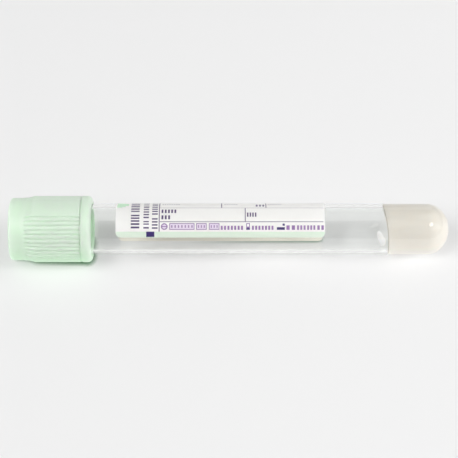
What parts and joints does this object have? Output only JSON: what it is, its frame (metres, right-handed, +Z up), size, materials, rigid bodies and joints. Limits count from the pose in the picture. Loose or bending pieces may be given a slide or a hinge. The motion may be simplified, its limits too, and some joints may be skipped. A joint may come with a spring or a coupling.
{
  "type": "blood collection tube",
  "caption": "Clear round-bottomed sample tube with a gel plug, wrap label, rubber stopper and ribbed pull-off shield, lying on its side.",
  "frame": {"origin": "on the plane the part lies on, under the middle of its bounding box", "axes": "+Z up; +X along the lying tube from the closure to the round bottom, which the tube axis follows to within its natural lean of 1.35 degrees; +Y towards the back"},
  "size_m": [0.1094, 0.0166, 0.0169],
  "materials": {
    "tube_plastic": "clear moulded polyester, polished",
    "label_paper": "matt coated paper with printed fields",
    "gel": "milky translucent gel",
    "stopper_rubber": "smooth matt moulded rubber",
    "shield_plastic": "slightly translucent satin moulded plastic"
  },
  "bodies": {
    "tube_body": {"tube": "tube_plastic", "label": "label_paper", "barrier_gel": "gel"},
    "closure": {"shield": "shield_plastic", "stopper": "stopper_rubber"}
  },
  "joints": [
    {"name": "closure_pull", "type": "slide", "parent": "tube_body", "child": "closure", "axis": [-0.9997, 0, 0.0236], "range_m": [0, 0.03]}
  ]
}
